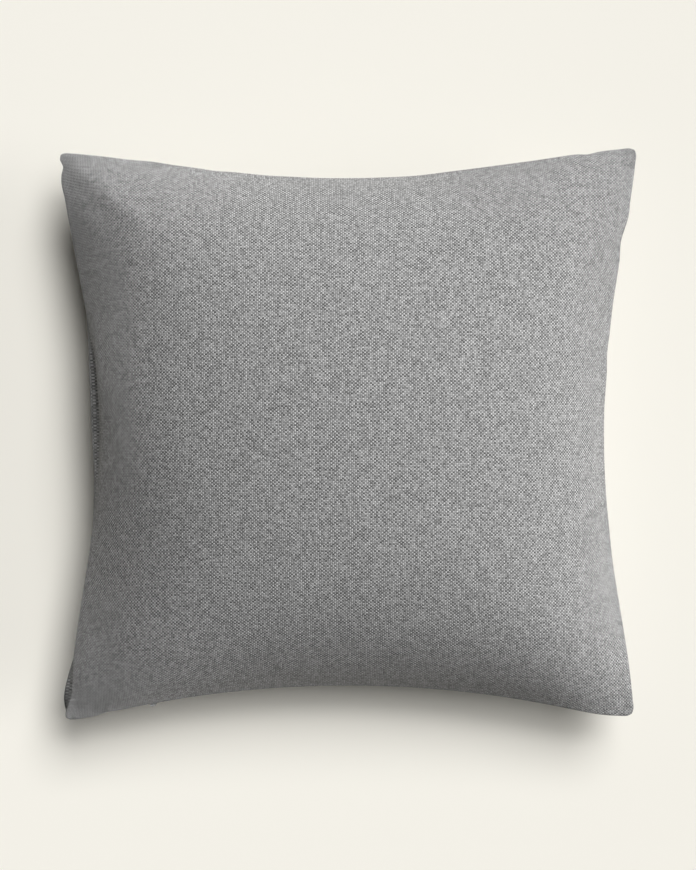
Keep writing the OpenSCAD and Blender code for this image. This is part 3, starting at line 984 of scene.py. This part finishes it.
def stitch_run(path, pitch, radius, dip, closed=False):
    fine_path, at = resample(path, pitch / 8, closed)
    wave = np.cos(2 * np.pi * at / pitch)
    fine_path = fine_path + np.asarray(dip, float) * np.clip(1.6 * wave, -1, 1)[:, None]
    return tube(fine_path, radius * (0.82 + 0.18 * wave**2), 6, closed)


# %% The cover's seam and the insert's seam
def rim_path(rim, inward):
    return rim["seam"] - rim["out"] * inward


open_rim = front_rim["share"] < 0.001
first = int(np.argmax(open_rim & ~np.roll(open_rim, 1)))
order = np.roll(np.arange(len(open_rim)), -first)
order = order[: open_rim.sum()]
add_thread(
    "cover_seam_stitches", "cover_seam_thread",
    [stitch_run(rim_path(front_rim, 0.0016)[order], 0.0028, 0.0002, (0, 0, 0.00025))],
    "seam_thread",
)

closing_ring = insert_front_rim["seam"]
on_far = (closing_ring[:, 1] > 0.15) & (np.abs(closing_ring[:, 0]) < 0.09)
first = int(np.argmax(~on_far & np.roll(on_far, 1)))
order = np.roll(np.arange(len(on_far)), -first)[: (~on_far).sum()]
add_thread(
    "insert_seam_stitches", "insert_seam_thread",
    [stitch_run(rim_path(insert_front_rim, 0.0012)[order], 0.0026, 0.00014, (0, 0, 0.0002))],
    "insert_thread",
)


# %% A thread wound round an edge
def winding(path, outward, upward, wide, tall, pitch, radius, steps_round=8, closed=True, sides=4):
    fine_path, at = resample(path, pitch / steps_round, closed)
    gone = np.concatenate([[0], np.cumsum(np.linalg.norm(np.diff(path, axis=0), axis=1))])
    out = np.stack([np.interp(at, gone, outward[:, k]) for k in range(3)], -1)
    out = unit(out)
    turn = 2 * np.pi * at / pitch
    if closed:
        turn = 2 * np.pi * np.round(at[-1] / pitch) * np.arange(len(at)) / len(at)
    loop = (
        fine_path
        + out * (wide * np.cos(turn))[:, None]
        + np.asarray(upward, float) * (tall * np.sin(turn))[:, None]
    )
    axis = unit(np.gradient(fine_path, axis=0))
    return tube(loop, radius, sides, closed, up=axis)


# %% Overlocked edges and the hand-closed gap
for side, rim, name, node in (
    (1, front_rim, "front_edge_overlock", "cover_front_overlock"),
    (-1, back_rim, "back_edge_overlock", "cover_back_overlock"),
):
    edge = rim["end"] + np.array([0, 0, side * 0.00036])
    winding_parts = winding(edge, rim["out"], (0, 0, 1), 0.0013, 0.00042, 0.0024, 0.00013)
    add_thread(name, node, [winding_parts], "seam_thread")

first = int(np.argmax(on_far & ~np.roll(on_far, 1)))
order = np.roll(np.arange(len(on_far)), -first)[: on_far.sum()]
closing_out = insert_front_rim["out"][order]
closing_path = closing_ring[order] + closing_out * 0.0001
add_thread(
    "hand_closing_stitches", "insert_closing_thread",
    [winding(closing_path, closing_out, (0, 0, 1), 0.0009, 0.0011, 0.0042, 0.00016, closed=False)],
    "insert_thread",
)

# %% [markdown]
# ## The zip
# The zip lies along the near edge, on the arc that its slider turns about. A
# point on it is an angle round the arc's centre, a distance in from the seam
# and a height. The tapes are one woven section swept along the arc with
# shallow ribs, and the chain on each side is a single nylon coil, flattened
# and wound over two hundred times.


# %% Places along the zip
def zip_point(angle, inward, height):
    angle, inward, height = np.broadcast_arrays(
        np.asarray(angle, float), np.asarray(inward, float), np.asarray(height, float)
    )
    r = ARC_R + inward
    return np.stack([r * np.sin(angle), ARC_Y + r * np.cos(angle), SEAM_Z + height], -1)


TAPE_HALF = tape_high_corner[0] * ARC_R / (ARC_R + 0.0125)
COIL_HALF, COIL_IN, COIL_WIDE = 0.17485, 0.0032, 0.0018
tape_angle = math.asin(TAPE_HALF / ARC_R)
print("tape half angle", round(math.degrees(tape_angle), 2))


# %% Woven tapes
RIBS, RIB_HEIGHT = 34, 0.00003


def tape_section():
    ribs = np.linspace(0.0043, 0.0124, RIBS)
    ripple = RIB_HEIGHT * np.cos(np.arange(RIBS) * np.pi)
    under = [(n, 0.00313 + r) for n, r in zip(ribs, ripple)]
    over = [(n, 0.00347 - r) for n, r in zip(ribs[::-1], ripple)]
    leg = [(0.0040, 0.0034), (0.0039, 0.0033), (0.0039, 0.0022)]
    leg += [(0.0040, 0.0021), (0.0042, 0.0021), (0.0043, 0.0022)]
    end = [(0.0125, 0.0032), (0.0125, 0.0034)]
    return under + end + over + leg


section = np.array(tape_section())
for side, name, node in ((1, "front_tape", "zip_tape_front"), (-1, "back_tape", "zip_tape_back")):
    angles = np.linspace(-tape_angle, tape_angle, 220)
    rows = zip_point(angles[:, None], section[None, :, 0], side * section[None, :, 1])
    index = np.arange(len(angles) * len(section)).reshape(len(angles), len(section))
    faces = []
    for k in range(len(angles) - 1):
        faces += strip_faces(index[k + 1], index[k])
    faces += [tuple(index[0].tolist()), tuple(index[-1][::-1].tolist())]
    faces = faces if side < 0 else [f[::-1] for f in faces]
    tape = make_piece(name, rows.reshape(-1, 3), faces, shade_smooth=False)
    place = np.stack(
        np.broadcast_arrays(angles[:, None] * ARC_R, section[None, :, 0], 0.3 * side), -1
    )
    add_vectors(tape, "cloth_pos", place.reshape(-1, 3))
    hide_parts(node)
    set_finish(tape, "zip_tape")
    print(name, "points", len(tape.data.vertices))


# %% Nylon coils
COIL_PITCH, WIRE = 0.0013, 0.00031
turns = int(2 * COIL_HALF / COIL_PITCH)
coil_angle = math.asin(COIL_HALF / ARC_R) * 0.998
for side, name, node in ((1, "front_coil", "zip_coil_front"), (-1, "back_coil", "zip_coil_back")):
    t = np.linspace(0, 1, turns * 12 + 1)
    turn = 2 * np.pi * turns * t
    angles = -coil_angle + 2 * coil_angle * t
    inward = COIL_IN + COIL_WIDE / 2 + (COIL_WIDE / 2 - WIRE) * np.sin(turn)
    height = side * (0.001375 + (0.000725 - WIRE) * np.cos(turn + (np.pi if side < 0 else 0)))
    path = zip_point(angles, inward, height)
    axis = np.stack([np.cos(angles), -np.sin(angles), 0 * angles], -1)
    points, faces = tube(path, WIRE, 6, up=axis)
    coil = make_piece(name, points, faces)
    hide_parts(node)
    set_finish(coil, "zip_coil")
    print(name, "turns", turns, "triangles", 2 * len(faces))

# %% Stitches that hold the tapes, and the bar tacks at the zip's ends
stitch_angle = math.asin(0.18145 / ARC_R)
for side, name, node in (
    (1, "front_tape_stitches", "zip_stitching_front"), (-1, "back_tape_stitches", "zip_stitching_back"),
):
    path = zip_point(np.linspace(-stitch_angle, stitch_angle, 600), 0.0086, side * 0.0036)
    add_thread(name, node, [stitch_run(path, 0.005, 0.00018, (0, 0, 0.00052))], "seam_thread")

tack_parts = []
for end in (-1, 1):
    span = np.linspace(math.asin(0.1776 / ARC_R), math.asin(0.1803 / ARC_R), 60)
    path = zip_point(end * span, 0.00092, 0)
    outward = np.stack([np.sin(end * span), np.cos(span), 0 * span], -1)
    tack_parts.append(
        winding(path, outward, (0, 0, 1), 0.0006, 0.0018, 0.00032, 0.00014, 12, closed=False, sides=5)
    )
add_thread("bar_tacks", "zip_bar_tacks", tack_parts, "seam_thread")

# %% [markdown]
# ## The slider, its pull and the stops
# These small metal parts have their true shape in the CAD model. Cast parts
# have soft edges that catch the light, which CAD leaves sharp, so each is
# copied, its flat faces are merged, and every sharp edge gets a narrow bevel.
# The stops also ride on the cushion, the slider and the pull on themselves.

# %% Soft-edged copies of the metal nodes
def soft_edged(node, name, width, body, segments=2):
    mesh = frame["nodes"][node].data.copy()
    work = bmesh.new()
    work.from_mesh(mesh)
    bmesh.ops.remove_doubles(work, verts=work.verts, dist=1e-6)
    bmesh.ops.dissolve_limit(
        work, angle_limit=math.radians(1), verts=work.verts, edges=work.edges
    )
    sharp = [e for e in work.edges if len(e.link_faces) == 2 and e.calc_face_angle() > 0.6]
    bmesh.ops.bevel(
        work, geom=sharp, offset=width, offset_type="OFFSET", segments=segments,
        profile=0.6, affect="EDGES", clamp_overlap=True,
    )
    bmesh.ops.triangulate(work, faces=[f for f in work.faces if len(f.verts) > 4])
    work.to_mesh(mesh)
    work.free()
    mesh.materials.clear()
    mesh.name = name
    mesh.polygons.foreach_set("use_smooth", [False] * len(mesh.polygons))
    piece = bpy.data.objects.new(name, mesh)
    bpy.context.scene.collection.objects.link(piece)
    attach(piece, body)
    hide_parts(node)
    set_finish(piece, "zip_metal")
    print(name, "faces", len(mesh.polygons))
    return piece


soft_edged("zip_slider", "slider", 0.00010, "zip_slider")
soft_edged("zip_pull", "pull_tab", 0.00014, "zip_pull")
soft_edged("zip_top_stops", "top_stops", 0.00022, "cushion")
soft_edged("zip_bottom_stop", "bottom_stop", 0.00022, "cushion")

# %% [markdown]
# ## Two blank labels
# A satin ribbon is sewn into the cover's left seam and another into the
# insert's right seam. Each starts flat between the seam allowances, turns up
# and then leans along the inside of the cover. Its flat position is stored
# with it, for the weave.


# %% A ribbon between cover and insert
def ribbon(name, node, side, root, turn, rise, width=0.030, thick=0.00024):
    mid = len(fine) // 2
    row = front_fine[: mid + 1, mid] if side < 0 else front_fine[mid:, mid][::-1]
    seam = front_rim["seam"]
    near = np.argmin(np.abs(seam[:, 1]) + 9 * (np.sign(seam[:, 0]) != side))
    base_x, base_z = seam[near, 0], seam[near, 2]
    away = np.abs(row[:, 0] - base_x)
    lift = row[:, 2] - base_z
    slope = np.arctan2(np.gradient(lift), np.gradient(away))
    inner_n = away + 0.0022 * np.sin(slope)
    inner_z = lift - 0.0022 * np.cos(slope)
    meet = np.argmax(inner_n > turn + 0.0006)
    start = [(root, 0.0), (turn, 0.0)]
    follow = [(inner_n[k], inner_z[k]) for k in range(meet, meet + 12)]
    first_z = follow[0][1]
    bend = [(turn, t * (first_z - 0.001)) for t in (0.15, 0.5, 0.9)]
    coarse = np.array([(n, 0.0, z) for n, z in start + bend + follow])
    path, at = resample(coarse, 0.0012)
    for _ in range(6):
        path[1:-1] = (path[:-2] + 2 * path[1:-1] + path[2:]) / 4
    length = abs(turn - root) + rise
    path, at = resample(path, 0.0012)
    path = path[at <= length]
    ys = np.linspace(-width / 2, width / 2, 9)
    along = unit(np.gradient(path, axis=0))
    normal = np.stack([-along[:, 2], along[:, 1], along[:, 0]], -1)
    curl = 0.0003 * (1 - (ys / (width / 2)) ** 2)
    free = smooth(0.012, 0.03, at[: len(path)])[:, None, None]
    grid = path[:, None] + normal[:, None] * curl[None, :, None] * free
    grid[..., 1] = ys[None]
    layers = [grid + normal[:, None] * s * thick / 2 for s in (1, -1)]
    near_label = (np.sign(seam[:, 0]) == side) & (np.abs(seam[:, 1]) < 0.05)
    edge_rows = np.where(near_label & (np.abs(seam[:, 0]) > 0.15))[0]
    edge_rows = edge_rows[np.argsort(seam[edge_rows, 1])]
    seam_x = np.interp(ys, seam[edge_rows, 1], seam[edge_rows, 0])
    seam_z = np.interp(ys, seam[edge_rows, 1], seam[edge_rows, 2])
    world = []
    for layer in layers:
        w = layer.copy()
        w[..., 0] = seam_x[None] - side * layer[..., 0]
        w[..., 2] = seam_z[None] + layer[..., 2]
        world.append(w.reshape(-1, 3))
    count, wide = grid.shape[:2]
    index = np.arange(count * wide).reshape(count, wide)
    quads = grid_quads(index)
    edge = np.concatenate([index[:-1, 0], index[-1, :-1], index[:0:-1, -1], index[0, :0:-1]])
    total = count * wide
    faces = quads + [tuple(i + total for i in q[::-1]) for q in quads]
    faces += strip_faces(edge + total, edge)
    if side > 0:
        faces = [f[::-1] for f in faces]
    piece = make_piece(name, np.concatenate(world), faces)
    place = np.stack(np.broadcast_arrays(ys[None], at[: len(path)][:, None], 0.1), -1).reshape(-1, 3)
    add_vectors(piece, "cloth_pos", np.concatenate([place, place]))
    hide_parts(node)
    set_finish(piece, "label_satin")
    return piece


ribbon("care_ribbon", "care_label", -1, 0.002, 0.0138, 0.026)
ribbon("insert_ribbon", "insert_label", 1, 0.0225, 0.0158, 0.022)

# %% [markdown]
# ## Finishes for the hidden parts
# Each of the other finishes has its own detail: twist on the threads, a tight
# weave on the tape and the calico, a floated weave on the satin, fine brushed
# lines on the nickel and loose strands on the filling. Thread twist and wear
# are groups as well, because several materials use them.

# %% The twist and wear groups
twist, n, given, give = new_group(
    "thread twist",
    {"Length": 0.0006},
    ("Ply", "Fuzz"),
)
where = n.add("ShaderNodeTexCoord").outputs["Object"]
tx, ty, tz = n.split(where)
run = n.divide(n.plus(n.plus(tx, ty), n.times(tz, 1.6)), given["Length"])
ply = n.times(n.plus(n.math("SINE", n.times(run, 6.2832)), 1.0), 0.5)
n.link(ply, give["Ply"])
n.link(n.noise(where, 2600, 2), give["Fuzz"])

wear, n, given, give = new_group(
    "handling wear",
    {"Scale": 900.0},
    ("Scratches", "Smudge"),
)
where = n.add("ShaderNodeTexCoord").outputs["Object"]
wx, wy, wz = n.split(where)
stretched = n.scaled((wx, wy, wz), 0.25, 3.0, 0.25)
lines = n.add("ShaderNodeTexNoise")
n.link(stretched, lines.inputs["Vector"])
n.link(given["Scale"], lines.inputs["Scale"])
lines.inputs["Detail"].default_value = 4
n.link(lines.outputs["Fac"], give["Scratches"])
n.link(n.noise(where, 260, 3), give["Smudge"])
print("groups:", [g.name for g in bpy.data.node_groups])


# %% Threads
def thread_material(name, light, dark, twist_length):
    material, n, shader = new_material(name, 0.72, Sheen_Weight=0.2)
    box = n.box(twist, Length=twist_length)
    # The colour is darker where the ply wave is low, in the grooves between the plies, which is painted
    # shade. The fuzz noise varies the tone at random.
    amount = n.times(n.plus(box["Ply"], box["Fuzz"]), 0.55)
    paint(n, shader, amount, dark, light)
    bump(n, shader, box["Ply"], 0.00005, 0.7)
    return material


seam_thread = thread_material("seam_thread", (0.46, 0.45, 0.43, 1), (0.25, 0.245, 0.235, 1), 0.0006)
insert_thread = thread_material("insert_thread", (0.90, 0.89, 0.86, 1), (0.66, 0.65, 0.62, 1), 0.0005)


# %% Cloth of the tape, the insert and the labels
def woven_material(name, light, dark, warp, weft, rough, gap, depth, **sockets):
    material, n, shader = new_material(name, rough, **sockets)
    box = n.box(weave, Cloth_position=attribute(n, "cloth_pos"), Warp_pitch=warp, Weft_pitch=weft)
    amount = n.plus(0.6, n.times(box["Shade"], 0.5))
    # The gaps between the yarns are darkened by the gap amount: painted shade.
    amount = n.minus(amount, n.times(box["Gap"], gap), clamp=True)
    paint(n, shader, amount, dark, light)
    bump(n, shader, box["Height"], depth, 0.6)
    return material


tape_cloth = woven_material(
    "zip_tape", (0.36, 0.35, 0.34, 1), (0.17, 0.165, 0.16, 1), 0.00055, 0.0004, 0.8, 0.3, 0.0001,
    Sheen_Weight=0.15,
)
insert_cloth = woven_material(
    "insert_cloth", (0.90, 0.885, 0.85, 1), (0.70, 0.685, 0.65, 1), 0.0004, 0.00036, 0.85, 0.25, 0.00008,
    Sheen_Weight=0.2,
)
satin = woven_material(
    "label_satin", (0.93, 0.93, 0.92, 1), (0.74, 0.74, 0.73, 1), 0.00022, 0.0011, 0.38, 0.2, 0.00003,
    Anisotropic=0.5, Sheen_Weight=0.3,
)

# %% Nylon, nickel and fibre
coil_nylon, n, shader = new_material("zip_coil", 0.4, Subsurface_Weight=0.05)
box = n.box(wear, Scale=2600)
paint(n, shader, box["Scratches"], (0.22, 0.215, 0.21, 1), (0.32, 0.315, 0.31, 1))
n.link(n.plus(0.3, n.times(box["Smudge"], 0.25)), shader.inputs["Roughness"])

zip_metal, n, shader = new_material("zip_metal", 0.3, Metallic=1.0)
box = n.box(wear)
paint(n, shader, box["Smudge"], (0.50, 0.50, 0.51, 1), (0.68, 0.68, 0.69, 1))
n.link(n.plus(0.2, n.times(box["Scratches"], 0.3)), shader.inputs["Roughness"])
bump(n, shader, box["Scratches"], 0.00002, 0.5)

fibre, n, shader = new_material("fill_fibre", 0.95, Sheen_Weight=0.5)
where = n.add("ShaderNodeTexCoord").outputs["Object"]
fx, fy, fz = n.split(where)
bent = n.vector(n.plus(fx, n.times(n.noise(where, 40, 2), 0.02)), fy, fz)
strands = n.noise(n.vector(n.times(fx, 0.3), n.times(fy, 2.4), fz), 900, 4, 0.7)
cross_strands = n.noise(n.vector(n.times(fx, 2.4), n.times(fy, 0.3), n.plus(fz, 2.0)), 900, 4, 0.7)
strand = n.mix(n.noise(bent, 30, 2), strands, cross_strands)
paint(n, shader, strand, (0.80, 0.80, 0.79, 1), (0.96, 0.96, 0.95, 1))
bump(n, shader, strand, 0.0004, 0.8)

# %% Put each finish on its pieces
FINISH = {
    "seam_thread": seam_thread, "insert_thread": insert_thread, "zip_tape": tape_cloth,
    "insert_cloth": insert_cloth, "label_satin": satin, "zip_coil": coil_nylon,
    "zip_metal": zip_metal, "fill_fibre": fibre, "cover_cloth": cover_cloth,
}
dressed = 0
for piece in bpy.data.objects:
    slot = piece.get("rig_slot")
    if piece.type == "MESH" and slot in FINISH and not piece.data.materials:
        piece.data.materials.append(FINISH[slot])
        dressed += 1
print("pieces dressed:", dressed)

# %% [markdown]
# ## The studio
# The pillow lies on a pale table. Large soft lights stand to its right and
# behind it, so that the left and near sides fall away into soft shade. Two
# low lights are kept off the table, so that they graze the cloth but don't
# stretch the shadow. That is done with light linking: a light has a collection
# of the only things that it reaches. A black board could do part of this in a
# real studio, but not all of it.

# %% Table and surroundings
TABLE = (0.940, 0.914, 0.838, 1.0)
table = bpy.data.meshes.new("table")
table.from_pydata([(-6, -6, 0), (6, -6, 0), (6, 6, 0), (-6, 6, 0)], [], [(0, 1, 2, 3)])
table_top = bpy.data.objects.new("table", table)
bpy.context.scene.collection.objects.link(table_top)
table_paint, n, shader = new_material("table", 0.9)
shader.inputs["Base Color"].default_value = TABLE
shader.inputs["Specular IOR Level"].default_value = 0.0
table.materials.append(table_paint)

world = bpy.data.worlds.new("studio")
bpy.context.scene.world = world
world.use_nodes = True
n = Nodes(world.node_tree)
seen = world.node_tree.nodes["Background"]
seen.inputs["Color"].default_value = (0.913, 0.888, 0.815, 1.0)
fill_light = n.add("ShaderNodeBackground")
fill_light.inputs["Strength"].default_value = 0.03
chooser = n.add("ShaderNodeMixShader")
n.link(n.add("ShaderNodeLightPath").outputs["Is Camera Ray"], chooser.inputs[0])
n.link(fill_light.outputs[0], chooser.inputs[1])
n.link(seen.outputs[0], chooser.inputs[2])
n.link(chooser.outputs[0], world.node_tree.nodes["World Output"].inputs["Surface"])


# %% Soft lights
def soft_light(name, around, above, softness, strength, only=None):
    light = bpy.data.lights.new(name, "SUN")
    light.energy, light.angle = math.pi * strength, softness
    a, e = math.radians(around), math.radians(above)
    toward = Vector((math.cos(a) * math.cos(e), math.sin(a) * math.cos(e), math.sin(e)))
    lamp = bpy.data.objects.new(name, light)
    lamp.rotation_euler = (-toward).to_track_quat("-Z", "Y").to_euler()
    bpy.context.scene.collection.objects.link(lamp)
    if only is not None:
        lamp.light_linking.receiver_collection = only
    print(name, "strength", strength)
    return lamp


flag = bpy.data.collections.new("reached by the flagged light")
for piece in bpy.data.objects:
    if piece.type == "MESH" and piece is not table_top:
        flag.objects.link(piece)
soft_light("high_right", 40, 70, 0.5, 0.38)
soft_light("high_back", 62, 55, 0.55, 0.57)
soft_light("low_right", 0, 25, 0.5, 0.25)
soft_light("flagged_low_right", 22, 25, 0.6, 1.05, only=flag)
soft_light("flagged_low_back", 80, 28, 0.6, 0.43, only=flag)
bpy.context.scene.view_settings.view_transform = "Standard"
